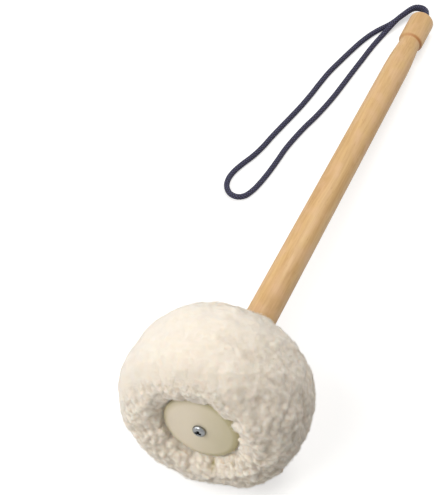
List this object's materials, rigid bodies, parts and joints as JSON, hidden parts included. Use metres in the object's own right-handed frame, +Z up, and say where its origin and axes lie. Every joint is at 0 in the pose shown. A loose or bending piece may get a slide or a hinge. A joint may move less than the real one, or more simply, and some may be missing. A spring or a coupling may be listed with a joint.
{
  "type": "singing bowl mallet",
  "caption": "Soft mallet for a singing bowl: a fleece head, drawn in round a milky clamp disc, on a turned wooden handle with a neck and knob, and a thin cord loop for the wrist.",
  "frame": {"origin": "on the table that the mallet lies on, under the middle of its length from the fleece's front to the knob's end and under its axis", "axes": "+Y along the handle's direction over the table, from the head to the knob; +Z up; +X to the right of someone looking from the head to the knob"},
  "size_m": [0.1268, 0.4134, 0.1083],
  "materials": {
    "handle_wood": "pale beech, thinly lacquered",
    "core_wood": "turned, unfinished",
    "felt": "grey wool felt",
    "fleece": "ivory curly fleece",
    "thread": "waxed thread",
    "disc_plastic": "milky, softly glossy",
    "screw_steel": "bright zinc plate",
    "cord": "navy braid"
  },
  "bodies": {
    "root": {"handle": "handle_wood", "head_core": "core_wood", "felt_padding": "felt", "fleece_cover": "fleece", "front_draw_thread": "thread", "rear_draw_thread": "thread", "clamp_disc": "disc_plastic", "clamp_screw": "screw_steel", "wrist_cord": "cord"}
  },
  "joints": []
}
